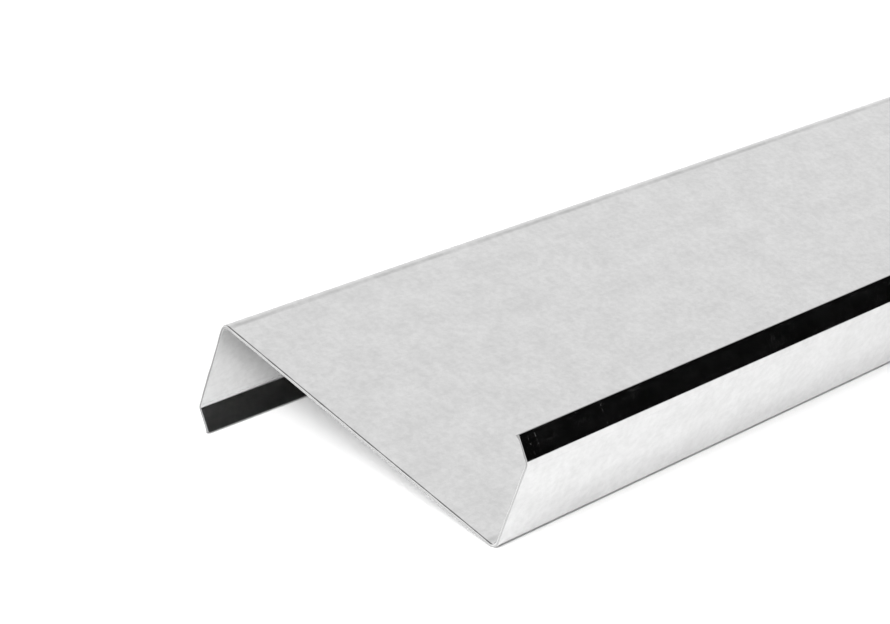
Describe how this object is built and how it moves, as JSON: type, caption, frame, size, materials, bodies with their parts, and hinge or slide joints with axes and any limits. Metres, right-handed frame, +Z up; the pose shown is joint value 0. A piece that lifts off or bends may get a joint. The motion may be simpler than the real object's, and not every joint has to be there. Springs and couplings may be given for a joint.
{
  "type": "z-profile",
  "caption": "cold-formed steel Z section with a broad and a narrow flange and sloping lips, a purlin or rail that carries sheeting between frames",
  "frame": {"origin": "on the floor, under the middle of the bar's length and of its width as it lies", "axes": "+Y along the bar, +Z up from the floor it lies on, +X from the side of the broad flange, which hangs from the raised edge of the web, to the side of the narrow flange, which stands on the lower edge"},
  "size_m": [0.2236, 6, 0.065],
  "materials": {
    "galvanised_steel": "satin zinc coat, smooth, with faint clouding and roll marks along the bar"
  },
  "bodies": {
    "root": {"z_profile": "galvanised_steel"}
  },
  "joints": []
}
